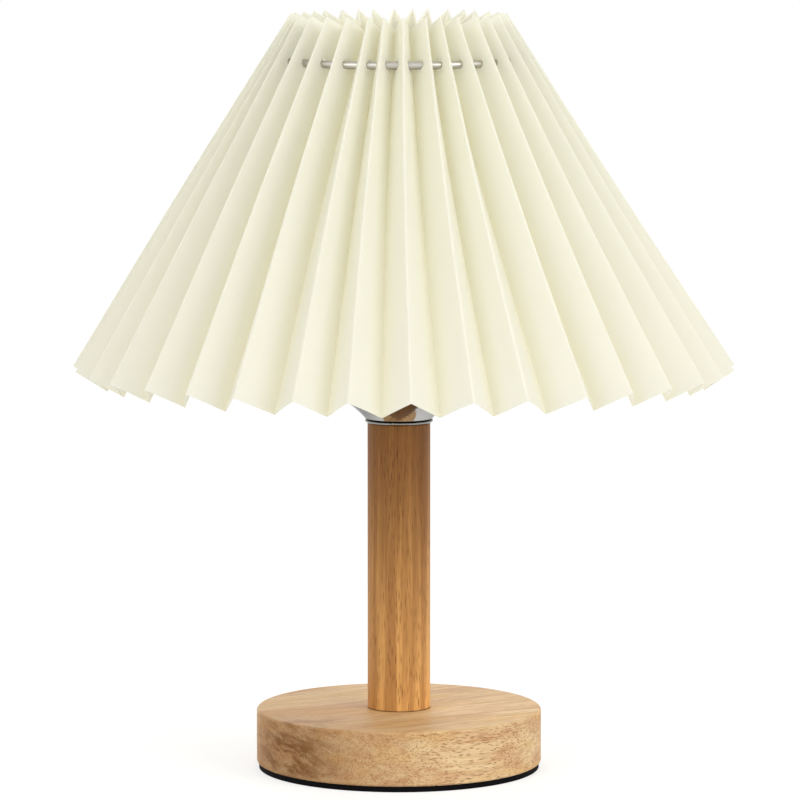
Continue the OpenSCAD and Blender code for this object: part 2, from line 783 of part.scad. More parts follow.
base_pad();
base_disc();
cord_bush();
base_nut();
base_washer();
threaded_tube();
post();
post_collar();
socket_cup();
cup_nut();
holder_cap();
holder_grub_screw();
holder_sleeve();
holder_core();
centre_contact();
shell_tab();
terminal_blocks();
terminal_screws();
screw_shell();
bulb_contact();
bulb_insulator();
bulb_cap();
bulb_housing();
led_board();
led_chips();
bulb_globe();
slip_washer();
grip_ring();
fitter_ring();
arm_front();
arm_right();
arm_left();
shade_hoop();
hoop_sleeve();
pleated_shade();
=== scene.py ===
"""Table lamp with a pleated fabric shade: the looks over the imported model.

Metres, +Z up. The origin is on the desk under the centre of the base and the front faces -Y.
"""
import math

import bpy
import numpy as np
from mathutils import Matrix, Vector


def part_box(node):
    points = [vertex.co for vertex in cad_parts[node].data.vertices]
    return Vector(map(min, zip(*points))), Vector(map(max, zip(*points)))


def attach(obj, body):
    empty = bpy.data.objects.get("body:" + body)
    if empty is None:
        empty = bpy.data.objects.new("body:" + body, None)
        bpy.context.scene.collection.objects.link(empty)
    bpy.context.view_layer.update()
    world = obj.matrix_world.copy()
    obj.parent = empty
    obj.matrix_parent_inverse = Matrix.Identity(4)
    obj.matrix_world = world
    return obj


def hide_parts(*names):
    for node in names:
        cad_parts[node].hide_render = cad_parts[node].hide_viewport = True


bl_info = {
    "name": "Pleated table lamp",
    "version": (1, 0, 0),
    "blender": (4, 5, 0),
    "location": "View3D > Sidebar > Lamp",
    "description": "Dresses the packed lamp: fabric, wood, chrome, lampholder, bulb and stage",
    "category": "Add Mesh",
}

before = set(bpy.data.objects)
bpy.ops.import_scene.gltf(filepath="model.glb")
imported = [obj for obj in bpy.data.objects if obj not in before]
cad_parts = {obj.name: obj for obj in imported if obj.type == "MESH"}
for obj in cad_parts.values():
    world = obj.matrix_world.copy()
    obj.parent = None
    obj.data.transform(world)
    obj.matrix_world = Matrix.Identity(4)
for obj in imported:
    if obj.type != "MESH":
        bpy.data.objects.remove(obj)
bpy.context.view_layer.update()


def linear(red, green, blue):
    """The scene's linear colour for a colour written as 0 to 255 in sRGB."""
    parts = np.array([red, green, blue]) / 255
    return tuple(np.where(parts <= 0.04045, parts / 12.92, ((parts + 0.055) / 1.055) ** 2.4))


def heights(node):
    """The node's lowest and highest Z."""
    low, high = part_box(node)
    return low.z, high.z


# Sizes and colours that a user would change


def length(name, description, default, **limits):
    return bpy.props.FloatProperty(
        name=name, description=description, default=default, unit="LENGTH", precision=5, **limits
    )


def angle(name, description, degrees):
    return bpy.props.FloatProperty(
        name=name, description=description, default=math.radians(degrees), subtype="ANGLE"
    )


def factor(name, description, default, top=1.0):
    return bpy.props.FloatProperty(
        name=name, description=description, default=default, min=0, max=top, subtype="FACTOR"
    )


def colour(name, description, default):
    return bpy.props.FloatVectorProperty(
        name=name, description=description, default=linear(*default),
        min=0, max=1, size=3, subtype="COLOR"
    )


class ShadeSettings(bpy.types.PropertyGroup):
    """The pleated fabric shade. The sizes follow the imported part, but the lower radius is 1.3 mm
    larger, because loose fabric spreads."""

    pleats: bpy.props.IntProperty(name="Pleats", description="Number of pleats", default=36, min=12)
    bottom_r: length("Lower radius", "Radius of the outer folds at the lower edge", 0.1503)
    top_r: length("Upper radius", "Radius of the outer folds at the upper edge", 0.049)
    height: length("Height", "Height between the two ends of an outer fold", 0.1595)
    depth_top: length("Upper depth", "Depth of a pleat at the upper edge", 0.013)
    depth_bottom: length("Lower depth", "Depth of a pleat at the lower edge", 0.0144)
    thickness: length("Thickness", "Thickness of the laminated fabric", 0.0005)
    crease: length("Crease", "How far from a fold the fabric starts to turn", 0.0009)
    lean: angle("Lean", "How far the fabric below the hoop hangs off upright", 1.0)
    bow: length("Bow", "How far a panel bows between its folds", 0.00022)
    hole_drop: length("Hole drop", "From the upper edge to the holes, along the fold", 0.0204)
    hole_inset: length("Hole inset", "Distance of the holes inside the outer folds", 0.0072)
    hole_d: length("Hole width", "Width of the punched holes", 0.0049)
    first_fold: angle("First fold", "Azimuth of the outer fold nearest the front", -88.9)
    cloth: colour("Cloth", "Colour of the fabric", (254, 254, 250))
    # painted shade: the colour the fabric is painted deep in the folds
    painted_valley_shade: colour("Valley", "Colour of the fabric deep in the folds", (253, 250, 228))
    glow: factor("Glow", "Share of the light that comes through the fabric", 0.66)


class WoodSettings(bpy.types.PropertyGroup):
    """The wooden disc and post."""

    grain_turn: angle("Grain", "Direction of the disc's grain from the X axis", 32)
    disc_pale: colour("Disc pale", "Pale wood of the disc", (228, 200, 155))
    disc_tan: colour("Disc tan", "Pinkish bands in the disc", (203, 160, 119))
    disc_gold: colour("Disc gold", "Yellow bands in the disc", (221, 182, 120))
    disc_brown: colour("Disc brown", "Figured patch on the disc's rim", (112, 68, 28))
    post_pale: colour("Post pale", "Pale wood of the post", (200, 150, 92))
    post_dark: colour("Post dark", "Dark bands in the post", (166, 117, 68))
    disc_pore: colour("Disc pores", "Open pores of the disc", (128, 76, 40))
    post_pore: colour("Post pores", "Open pores of the post", (96, 56, 28))


class MetalSettings(bpy.types.PropertyGroup):
    """Chrome, nickel wire and the plain metals inside."""

    chrome: colour("Chrome", "Chrome of the cup and its collar", (188, 187, 185))
    wire: colour("Wire", "Nickel of the hoop and the shade carrier", (192, 188, 180))


class StageSettings(bpy.types.PropertyGroup):
    """Floor, light and camera."""

    distance: length("Distance", "From the camera to its target", 2.3)
    target_z: length("Target height", "Height of the camera's target", 0.1686)
    side: length("Side", "How far the camera stands to the right of the lamp", 0.0005)
    pitch: angle("Pitch", "How far the camera looks down", 6.61)
    lens: bpy.props.FloatProperty(
        name="Lens", description="Focal length on a 36 mm sensor", default=227.8, unit="CAMERA"
    )
    sky: factor("Sky", "Light from straight above", 0.82, 2)
    horizon: factor("Horizon", "Light from the horizon and below", 0.50, 2)
    left: factor("Left", "Share of that light that the left side gives", 0.62, 2)
    key: factor("Key", "Light from the front right", 0.39, 2)
    fill: factor("Fill", "Light from the front left", 0.28, 2)
    back: factor("Back", "Light from behind", 0.25, 2)
    floor: factor("Floor", "Share of the floor's white that keeps no shadow", 0.64, 2)


# Meshes


def add_piece(name, points, faces, uv, body):
    """Makes a mesh object from points in metres, faces of four corners, and the place of each
    corner in the flat cloth."""
    mesh = bpy.data.meshes.new(name)
    mesh.from_pydata(points.tolist(), [], faces.tolist())
    mesh.update()
    mesh.uv_layers.new(name="cloth").data.foreach_set("uv", uv.astype(np.float32).ravel())
    mesh.shade_smooth()
    piece = bpy.data.objects.new(name, mesh)
    bpy.context.scene.collection.objects.link(piece)
    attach(piece, body)
    return piece


def belt_faces(rows, columns):
    """Corners of the cells of a grid of points that is stored row by row. Each row is a ring, so
    its last point is joined to its first."""
    row = np.arange(rows - 1)[:, None]
    column = np.arange(columns)[None, :]
    following = (column + 1) % columns
    corners = [row * columns + column, row * columns + following,
               (row + 1) * columns + following, (row + 1) * columns + column]
    return np.stack(corners, -1).reshape(-1, 4)


def apply_modifiers(piece):
    """Puts what the modifiers make into the piece's own mesh."""
    evaluated = piece.evaluated_get(bpy.context.evaluated_depsgraph_get())
    made = bpy.data.meshes.new_from_object(evaluated)
    piece.modifiers.clear()
    old, piece.data = piece.data, made
    bpy.data.meshes.remove(old)
    made.name = piece.name


# Shade


def fold_lines(s):
    """Azimuths of the upper and of the lower ends of all folds, in turn round the shade: outer
    folds are even and inner ones odd. Outer fold n, counted from the front, stands at an even
    pitch. Its upper end is pulled round in degrees by a steady part, a wave that repeats every
    three folds, a bell back at the left and a bell on at the right. Its lower end wanders by a
    small sine. An inner fold stands half-way between its neighbours, and at the upper edge a
    little back from there."""
    count = s.pleats
    k = np.arange(count)
    n = (k + 1.5 * count) % count - count / 2
    left, right = np.exp(-(((n + 5.6) / 1.6) ** 2)), np.exp(-(((n - 6.5) / 1.8) ** 2))
    pull = 1.9 + 1.3 * np.cos(np.radians(120 * (n + 2))) - 9 * left + 4 * right
    back = -0.5 - 0.6 * np.cos(np.radians(120 * k))
    wander = 0.45 * np.sin(np.radians(137 * n))
    even = math.degrees(s.first_fold) + 360 * k / count
    ends = []
    for outer, shift in ((even + pull, back), (even + wander, 0)):
        following = np.append(outer[1:], outer[0] + 360)
        ends.append(np.radians(np.stack([outer, (outer + following) / 2 + shift], 1).ravel()))
    return ends


class Pleats:
    """Points on the middle of the folded fabric."""

    def __init__(self, s):
        self.s = s
        self.folds = 2 * s.pleats
        self.slope = math.atan2(s.bottom_r - s.top_r, s.height)
        self.length = math.hypot(s.bottom_r - s.top_r, s.height)
        self.hoop_z = sum(heights("shade_hoop")) / 2
        self.top_z = (self.hoop_z + s.hole_drop * math.cos(self.slope)
                      + s.hole_inset * math.sin(self.slope))
        inner = np.arange(self.folds) % 2
        top, bottom = fold_lines(s)
        self.top = self.cone(top, 0, -inner * s.depth_top)
        self.bottom = self.cone(bottom, 1, -inner * s.depth_bottom)

    def cone(self, azimuth, u, out):
        """Point at an azimuth, off from the outer fold line by out, square to it."""
        radius = self.s.top_r + u * self.length * math.sin(self.slope) + out * math.cos(self.slope)
        z = self.top_z - u * self.length * math.cos(self.slope) + out * math.sin(self.slope)
        return np.stack([radius * np.cos(azimuth), radius * np.sin(azimuth), z + 0 * azimuth], -1)

    def fold(self, i, u):
        """Point of fold i, a straight line, u from 0 at its upper end to 1 at its lower one."""
        i = i % self.folds
        u = u[..., None]
        return (1 - u) * self.top[i] + u * self.bottom[i]

    def hang(self, points):
        """The fabric hangs off upright from the hoop: it moves to the right by the lean times the
        depth below the hoop, times a share that grows smoothly from 0 at the hoop to 1 at the
        lower edge."""
        x, y, z = np.moveaxis(points, -1, 0)
        below = np.clip((self.hoop_z - z) / (self.hoop_z - self.bottom[..., 2].min()), 0, 1)
        share = below * below * (3 - 2 * below)
        return np.stack([x + self.s.lean * share * (self.hoop_z - z), y, z], -1)

    def depth(self, u):
        """Depth of a pleat, which grows evenly from the upper edge to the lower one."""
        return self.s.depth_top + (self.s.depth_bottom - self.s.depth_top) * u

    def point(self, i, v, u, near=None):
        """Point of panel i, v from 0 at fold i to 1 at fold i + 1, and u from 0 at the upper edge
        to 1 at the lower one. The panel is the straight line between its folds. Within the
        crease's width of a fold it is pulled inwards by the square of what is left of that width,
        which makes the fold a parabola. Between the folds it bows outwards as v times 1 - v, by an
        amount that a sine varies from panel to panel and down each panel. near gives v as a share
        of the crease instead, from fold i where positive and from fold i + 1 where negative."""
        i, v, u = np.broadcast_arrays(i, v, u)
        a, b = self.fold(i, u), self.fold(i + 1, u)
        width = np.linalg.norm(b - a, axis=-1)
        if near is not None:
            share = near * self.s.crease / width
            v = np.where(near > 0, share, np.where(near < 0, 1 + share, v))
        across = (b - a) / width[..., None]
        made = a + v[..., None] * (b - a)
        for here, there, far in ((a, self.fold(i - 1, u), v), (b, self.fold(i + 2, u), 1 - v)):
            back = there - here
            back /= np.linalg.norm(back, axis=-1, keepdims=True)
            on = across if far is v else -across
            left = np.clip(1 - far * width / self.s.crease, 0, None) ** 2
            made = made + (0.25 * self.s.crease * left)[..., None] * (back + on)
        square = np.cross(across, self.fold(i, u + 0.01) - self.fold(i, u - 0.01))
        square /= np.linalg.norm(square, axis=-1, keepdims=True)
        wave = self.s.bow * (1 + 0.6 * np.sin(2.3 * i + 5 * u)) * 4 * v * (1 - v)
        return self.hang(made - wave[..., None] * square), v


SHARP_FOLD = math.radians(62)  # edges at which the fabric turns more than this are drawn hard

# How finely the folded fabric is divided
HOLE_CELLS = 6  # cells along each side of the square round a hole
SQUARE_WIDTH = 1.4  # width of that square, as a share of the hole's
ROWS_ABOVE, ROWS_BELOW = 4, 15  # rows of points from the upper edge to the square, and on from it
CREASE_STEPS = np.array([0.1, 0.28, 0.55, 1.0])  # columns beside a fold, as shares of the crease
RING_TURNS = np.array([0.45, 0.8, 1.0])  # how far each ring is from the square to the circle


def pleated_mesh(s):
    """The folded fabric as one sheet of cells with a round hole in every panel, and what the
    material needs: where each point lies in the flat cloth and how near it is to an inner fold.
    Each panel has rows down the fold and columns from fold to fold. The cells round a hole are
    left out, and rings of cells that turn from the square gap into the circle take their place.
    In odd panels the columns run the other way, so that outer folds match."""
    pleats = Pleats(s)
    hole_u = s.hole_drop / pleats.length
    hole_v = s.hole_inset / pleats.depth(hole_u)
    gap = SQUARE_WIDTH * s.hole_d / 2
    gap_u, gap_v = gap / pleats.length, gap / pleats.depth(hole_u)
    band = hole_u + gap_u * np.linspace(-1, 1, HOLE_CELLS + 1)
    rows = np.concatenate([np.linspace(0, band[0], ROWS_ABOVE)[:-1], band,
                           np.linspace(band[-1], 1, ROWS_BELOW)[1:]])
    span = hole_v + gap_v * np.linspace(-1, 1, HOLE_CELLS + 1)
    steps = CREASE_STEPS
    near = np.concatenate([[0], steps, np.zeros(HOLE_CELLS + 3), -steps[::-1]])
    edge_share = s.crease / np.linalg.norm(pleats.top[1] - pleats.top[0])
    beside = (span[0] + edge_share) / 2, (span[-1] + 1 - edge_share) / 2
    plain = np.concatenate([[0], 0 * steps, beside[:1], span, beside[1:], 0 * steps])
    columns = len(near)
    first_row, first_column = ROWS_ABOVE - 1, len(steps) + 2

    # the grid, without the squares
    i = np.arange(pleats.folds)[None, :, None]
    odd = i % 2 == 1
    v = np.where(odd, np.concatenate([[0], 1 - plain[:0:-1]]), plain)
    n = np.where(odd, np.concatenate([[0], -near[:0:-1]]), near)
    u = rows[:, None, None]
    points, v = pleats.point(i, v, u, near=n + 0 * u)
    total = pleats.folds * columns
    index = np.arange(len(rows) * total).reshape(len(rows), total)
    faces = belt_faces(len(rows), total)
    row_of, column_of = np.divmod(np.arange(len(faces)), total)
    panel_of, column_of = np.divmod(column_of, columns)
    panels = np.arange(pleats.folds)
    starts = np.where(panels % 2 == 1, columns - first_column - HOLE_CELLS, first_column)
    start = starts[panel_of]
    inside = ((row_of >= first_row) & (row_of < first_row + HOLE_CELLS)
              & (column_of >= start) & (column_of < start + HOLE_CELLS))
    faces = faces[~inside]

    # the rings: each point of the square's edge moves towards the circle
    side = np.arange(HOLE_CELLS)
    around = np.concatenate([
        np.stack([0 * side, side], 1), np.stack([side, 0 * side + HOLE_CELLS], 1),
        np.stack([0 * side + HOLE_CELLS, HOLE_CELLS - side], 1),
        np.stack([HOLE_CELLS - side, 0 * side], 1),
    ])
    square = around / HOLE_CELLS * 2 - 1
    circle = square / np.linalg.norm(square, axis=1, keepdims=True)
    first_point = (panels * columns + starts)[:, None]
    edge = index[first_row + around[None, :, 0], first_point + around[None, :, 1]]
    turn = RING_TURNS[:, None, None]
    offset = (1 - turn) * square + turn * (s.hole_d / 2 / gap) * circle
    panel = panels[:, None, None]
    ring_v = np.where(panel % 2 == 1, 1 - hole_v, hole_v) + gap_v * offset[None, ..., 1]
    ring_u = np.broadcast_to((hole_u + gap_u * offset[..., 0])[None], ring_v.shape)
    ring_points, _ = pleats.point(panel, ring_v, ring_u)
    points = points.reshape(-1, 3)
    rings = len(points) + np.arange(ring_v.size).reshape(ring_v.shape)
    rings = np.concatenate([edge[:, None, :], rings], 1)
    following = np.roll(rings, -1, 2)
    ring_cells = np.stack([rings[:, :-1], following[:, :-1], following[:, 1:], rings[:, 1:]], -1)

    # the flat cloth: the panels side by side, each as wide as their mean and as long as a fold
    row_u = u + 0.0 * i
    panel_width = np.linalg.norm(pleats.fold(i + 1, row_u) - pleats.fold(i, row_u), axis=-1).mean()
    along = np.concatenate([(i + v).ravel(), (panel + ring_v).ravel()]) * panel_width
    down = np.concatenate([np.broadcast_to(u, v.shape).ravel(), ring_u.ravel()]) * pleats.length
    deep = np.concatenate([np.where(odd, 1 - v, v).ravel(),
                           np.where(panel % 2 == 1, 1 - ring_v, ring_v).ravel()])
    faces = np.concatenate([faces, ring_cells.reshape(-1, 4)])
    corner = along[faces]
    full_turn = pleats.folds * panel_width
    behind = corner < corner.max(1, keepdims=True) - full_turn / 2
    corner = np.where(behind, corner + full_turn, corner)
    uv = np.stack([corner, down[faces]], -1)
    return pleats, np.concatenate([points, ring_points.reshape(-1, 3)]), faces, uv, deep


def build_shade(s):
    """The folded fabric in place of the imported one, with its thickness."""
    pleats, points, faces, uv, deep = pleated_mesh(s)
    shade = add_piece("shade_fabric", points, faces, uv, "shade")
    layer = shade.data.attributes.new("deep", "FLOAT", "POINT")
    layer.data.foreach_set("value", deep.astype(np.float32))
    wall = shade.modifiers.new("wall", "SOLIDIFY")
    wall.thickness = s.thickness
    wall.offset = 0
    wall.use_even_offset = True
    wall.use_quality_normals = True
    apply_modifiers(shade)
    shade.data.set_sharp_from_angle(angle=SHARP_FOLD)
    dress(shade, cloth_finish(s))
    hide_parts("pleated_shade")


# Materials


class Value:
    """A number that changes over a surface. Arithmetic on it adds Math nodes."""

    def __init__(self, finish, socket):
        self.finish, self.socket = finish, socket

    def calc(self, operation, *others, first=None):
        """Adds a Math node on this and other values, or with another value first."""
        parts = (self, *others) if first is None else (first, self)
        made = self.finish.node("ShaderNodeMath", {"operation": operation}, dict(enumerate(parts)))
        return Value(self.finish, made.outputs[0])

    def __add__(self, other):
        return self.calc("ADD", other)

    def __sub__(self, other):
        return self.calc("SUBTRACT", other)

    def __mul__(self, other):
        return self.calc("MULTIPLY", other)

    def __rsub__(self, other):
        return self.calc("SUBTRACT", first=other)

    __radd__ = __add__
    __rmul__ = __mul__

    def between(self, low, high):
        """0 where the value is low, 1 where it is high, and a smooth step between."""
        made = self.finish.node(
            "ShaderNodeMapRange", {"interpolation_type": "SMOOTHSTEP"},
            {"Value": self, "From Min": low, "From Max": high})
        return Value(self.finish, made.outputs["Result"])


class Nodes:
    """A node tree of a material or of the world, cleared to build in."""

    def __init__(self, owner, out):
        owner.use_nodes = True
        self.tree = owner.node_tree
        self.tree.nodes.clear()
        self.out = self.node(out)

    def node(self, kind, settings=None, sockets=None):
        """Adds a node: its settings are set first, then its sockets' values or links."""
        made = self.tree.nodes.new(kind)
        for key, value in (settings or {}).items():
            setattr(made, key, value)
        for key, value in (sockets or {}).items():
            self.put(made.inputs[key], value)
        return made

    def put(self, socket, value):
        """Links a socket to what a node gives, or sets it to a number, colour or vector."""
        value = value.socket if isinstance(value, Value) else value
        if isinstance(value, bpy.types.NodeSocket):
            self.tree.links.new(value, socket)
        elif socket.type == "RGBA" and len(value) == 3:
            socket.default_value = (*value, 1)
        else:
            socket.default_value = value

    def surface(self, shader):
        """Links a shader to the output."""
        self.put(self.out.inputs["Surface"], shader)

    def mix(self, share, a, b, blend="MIX"):
        """Colour a where share is 0 and b, or a times b, where it is 1."""
        made = self.node("ShaderNodeMix", {"data_type": "RGBA", "blend_type": blend},
                         {0: share, 6: a, 7: b})
        return made.outputs[2]

    def axes(self, vector):
        """The three parts of a vector."""
        parts = self.node("ShaderNodeSeparateXYZ", {}, {0: vector}).outputs
        return [Value(self, part) for part in parts]


class Finish(Nodes):
    """One material: a surface shader, and patterns laid out in the piece's own metres."""

    def __init__(self, name, **constants):
        self.material = bpy.data.materials.new(name)
        super().__init__(self.material, "ShaderNodeOutputMaterial")
        self.shader = self.node("ShaderNodeBsdfPrincipled", {},
                                {key.replace("_", " "): value for key, value in constants.items()})
        self.surface(self.shader.outputs[0])

    def place(self, cell=(1, 1, 1), turn=(0, 0, 0), cloth=False):
        """Coordinates in the piece's own metres, or in its cloth map, turned, and grown so that
        each cell of the given size is one unit."""
        if cloth:
            source = self.node("ShaderNodeUVMap", {"uv_map": "cloth"}).outputs[0]
        else:
            source = self.node("ShaderNodeTexCoord").outputs["Object"]
        turned = self.node("ShaderNodeMapping", {"vector_type": "POINT"},
                           {"Vector": source, "Rotation": turn})
        grown = self.node("ShaderNodeVectorMath", {"operation": "MULTIPLY"},
                          {0: turned.outputs[0], 1: tuple(1 / side for side in cell)})
        return grown.outputs[0]

    def noise(self, cell, turn=(0, 0, 0), cloth=False, detail=3, rough=0.55, twist=0.0, offset=0.0):
        """Soft noise from 0 to 1 with cells of the given size."""
        moved = self.node("ShaderNodeVectorMath", {"operation": "ADD"},
                          {0: self.place(cell, turn, cloth), 1: (offset,) * 3})
        made = self.node("ShaderNodeTexNoise", {}, {
            "Vector": moved.outputs[0], "Scale": 1.0, "Detail": detail,
            "Roughness": rough, "Distortion": twist})
        return Value(self, made.outputs[0])

    def spots(self, cell, turn=(0, 0, 0)):
        """Distance to the nearest of points scattered one to each cell, in cells."""
        made = self.node("ShaderNodeTexVoronoi", {"feature": "F1"},
                         {"Vector": self.place(cell, turn), "Scale": 1.0})
        return Value(self, made.outputs["Distance"])

    def base(self, colour):
        self.put(self.shader.inputs["Base Color"], colour)

    def rough(self, value):
        self.put(self.shader.inputs["Roughness"], value)

    def bump(self, height, metres, strength):
        """Relief: the height from 0 to 1 stands for this many metres."""
        made = self.node("ShaderNodeBump", {},
                         {"Height": height, "Distance": metres, "Strength": strength})
        self.put(self.shader.inputs["Normal"], made.outputs[0])


def dress(piece, finish):
    """Gives a piece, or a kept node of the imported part, its material."""
    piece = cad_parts[piece] if isinstance(piece, str) else piece
    piece.data.materials.clear()
    piece.data.materials.append(finish.material)


# Finishes


def cloth_finish(s):
    """Cream fabric laminated on film: a fine plain weave with slubs, a satin face, and a little
    light through it. Painted shade makes it yellower deep in the folds, and it is whiter along the
    outer folds, partly where the crease whitens the laminate and partly as a painted highlight."""
    finish = Finish("cream_fabric", Roughness=0.62, IOR=1.45, Specular_IOR_Level=0.35,
                    Sheen_Weight=0.12, Sheen_Roughness=0.4)
    thread = 0.00042
    x, y, _ = finish.axes(finish.place((thread, thread, 1), cloth=True))
    weave = (x * math.pi).calc("SINE") * (y * math.pi).calc("SINE")
    slub_across = finish.noise((0.006, 0.0005, 1), cloth=True, detail=2)
    slub_down = finish.noise((0.0005, 0.009, 1), cloth=True, detail=2, offset=7)
    slub = (slub_across + slub_down) * 0.5
    cloudy = finish.noise((0.03,) * 3, cloth=True, detail=2, offset=3)
    attribute = finish.node("ShaderNodeAttribute", {"attribute_name": "deep"})
    deep = Value(finish, attribute.outputs["Fac"])
    # painted shade: yellower deep in the folds
    tone = finish.mix(deep.between(0.4, 1.1), s.cloth, s.painted_valley_shade)
    tone = finish.mix(slub.between(0.42, 0.62) * 0.06, tone, linear(236, 229, 205))
    tone = finish.mix(cloudy.between(0.3, 0.7) * 0.05, tone, linear(244, 239, 222))
    # whiter along the outer folds: partly the laminate whitened by the crease, partly a painted
    # highlight
    tone = finish.mix((1 - deep.between(0.0, 0.07)) * 0.6, tone, linear(254, 253, 248))
    finish.base(tone)
    finish.rough(0.56 + slub * 0.14)
    finish.bump(weave * 0.35 + slub * 1.2, 0.00006, 0.6)
    through = finish.node("ShaderNodeBsdfTranslucent", {}, {"Color": linear(253, 252, 243)})
    both = finish.node("ShaderNodeMixShader", {},
                       {0: s.glow, 1: finish.shader.outputs[0], 2: through.outputs[0]})
    finish.surface(both.outputs[0])
    return finish


def disc_finish(w):
    """Pale wood cut along the grain. Streaks, growth bands and pores are long along the grain and
    thin across it, so they show as dashes on the rim beside the grain and as dots on its ends. A
    brown figured patch lies on the rim at the left front, with its bands falling to the right, and
    reddish veins lie high on the rim at the right. The pores fade on the top face."""
    finish = Finish("base_wood", IOR=1.45, Specular_IOR_Level=0.16)
    turn = (0, 0, -w.grain_turn)
    bands = finish.noise((0.10, 0.013, 0.007), turn, twist=0.5)
    gold = finish.noise((0.07, 0.022, 0.010), turn, detail=2, offset=4.4)
    streaks = finish.noise((0.035, 0.0022, 0.0018), turn, offset=4)
    fine = finish.noise((0.007, 0.0005, 0.0005), turn, detail=2, offset=9)
    tone = finish.mix(bands.between(0.36, 0.68) * 0.8, w.disc_pale, w.disc_tan)
    tone = finish.mix(gold.between(0.46, 0.66) * 0.7, tone, w.disc_gold)
    tone = finish.mix(streaks.between(0.46, 0.68) * 0.5, tone, linear(182, 130, 82))
    tone = finish.mix(fine.between(0.46, 0.7) * 0.36, tone, linear(168, 118, 74))

    # the patch, a ball that is wider than it is high, and the browner wood round it
    patch_at, flatness = (-0.0497, -0.0419, 0.0125), 1.5
    away = finish.node("ShaderNodeVectorMath", {"operation": "DISTANCE"}, {
        0: finish.place((1, 1, 1 / flatness)), 1: (*patch_at[:2], patch_at[2] * flatness)})
    away = Value(finish, away.outputs["Value"])
    across, down = math.radians(51), math.radians(-14)
    slant = (Matrix.Rotation(down, 3, "Y") @ Matrix.Rotation(across, 3, "Z")).to_euler()
    figure = finish.noise((0.016, 0.012, 0.0045), slant, detail=5, rough=0.65, twist=0.5, offset=2)
    tone = finish.mix((1 - away.between(0.02, 0.085)) * 0.5, tone, linear(158, 108, 62))
    patch = (1 - away.between(0.004, 0.04)) * (0.2 + figure.between(0.38, 0.6) * 0.75)
    tone = finish.mix(patch, tone, w.disc_brown)

    # painted shade: the left half is a little darker, on the side away from the light at the right
    x, _, z = finish.axes(finish.place())
    tone = finish.mix((1 - x.between(-0.03, 0.04)) * 0.4, tone, (0.87, 0.83, 0.78), "MULTIPLY")

    top = heights("base_disc")[1]
    rim = 1 - z.between(top - 0.0012, top - 0.0004) * 0.75
    pores = finish.spots((0.005, 0.0007, 0.00055), turn)
    crowd = finish.noise((0.05, 0.006, 0.004), turn, detail=2, offset=21)
    pore = (1 - pores.between(0.16, 0.38)) * crowd.between(0.24, 0.46) * rim
    tone = finish.mix(pore * 0.8, tone, w.disc_pore)
    veins = finish.noise((0.018, 0.0012, 0.0006), turn, detail=2, offset=31)
    high_right = x.between(0.0, 0.03) * z.between(top - 0.009, top - 0.004)
    vein = veins.between(0.56, 0.64) * high_right * 0.6 * rim
    finish.base(finish.mix(vein, tone, linear(150, 84, 50)))
    finish.rough(0.5 + streaks * 0.12 + pore * 0.15)
    finish.bump(fine * 0.3 - pore, 0.00012, 0.7)
    return finish


def post_finish(w):
    """Darker wood with the grain upright: bands, fine streaks and pores that are long along Z.
    Painted shade darkens it from the foot to the top and painted light makes the foot paler, a
    painted sheen makes it paler along both edges, and a painted contact shadow draws a dark line
    where it enters the base."""
    finish = Finish("post_wood", IOR=1.45, Specular_IOR_Level=0.3)
    bands = finish.noise((0.005, 0.005, 0.16), twist=0.3, offset=5)
    streaks = finish.noise((0.0009, 0.0009, 0.03), offset=1)
    fine = finish.noise((0.0004, 0.0004, 0.009), detail=2, offset=8)
    tone = finish.mix(bands.between(0.38, 0.62), w.post_pale, w.post_dark)
    tone = finish.mix(streaks.between(0.44, 0.66) * 0.3, tone, linear(146, 96, 50))
    tone = finish.mix(fine.between(0.44, 0.66) * 0.3, tone, linear(128, 82, 42))
    pores = finish.spots((0.0008, 0.0008, 0.009))
    crowd = finish.noise((0.006, 0.006, 0.06), detail=2, offset=12)
    pore = (1 - pores.between(0.12, 0.34)) * crowd.between(0.38, 0.56)
    tone = finish.mix(pore * 0.65, tone, w.post_pore)

    foot, top = heights("base_disc")[1], heights("post")[1]
    x, _, z = finish.axes(finish.place())
    up = (z - foot) * (1 / (top - foot))
    # painted shade from the lampshade above: darker to the top, and painted light paler at the foot
    shade = finish.mix(up.between(-0.25, 1.1), (1.47, 1.5, 1.36), (0.51, 0.40, 0.26))
    tone = finish.mix(1.0, tone, shade, "MULTIPLY")
    # painted sheen: paler along both edges, as the room's light shines off the wood at a grazing
    # angle
    painted_edge_sheen = x.between(0.0095, 0.0135) + (1 - x.between(-0.0137, -0.0112))
    tone = finish.mix(painted_edge_sheen * 0.35, tone, (1.45, 1.5, 1.45), "MULTIPLY")
    # painted contact shadow: a dark line where the post enters the base
    painted_contact_shadow = 1 - z.between(foot + 0.0001, foot + 0.0007)
    finish.base(finish.mix(painted_contact_shadow * 0.85, tone, linear(52, 30, 16)))
    finish.rough(0.46 + streaks * 0.14 + pore * 0.15)
    finish.bump(fine * 0.3 + streaks * 0.4 - pore, 0.00014, 0.8)
    return finish


def polish(finish, rough, wear, marks):
    """Polish that varies in soft patches, and fine marks. Gives the patches, from 0 to 1."""
    smear = finish.noise((0.004,) * 3, offset=3)
    finish.rough(rough + (smear - 0.5) * wear)
    finish.bump(smear, marks, 0.4)
    return smear


def metal_finish(name, tone, rough, wear, marks=0.00002, painted_shadow_band=None):
    """Bare or plated metal. A band of heights, if given, is painted black: a painted shadow
    under a piece that lies on it."""
    finish = Finish(name, Metallic=1.0)
    smear = polish(finish, rough, wear, marks)
    shine = finish.mix(smear * 0.25, tone, tuple(0.82 * part for part in tone))
    if painted_shadow_band:
        z = finish.axes(finish.place())[2]
        shine = finish.mix(z.between(*painted_shadow_band), shine, linear(16, 16, 18))
    finish.base(shine)
    return finish


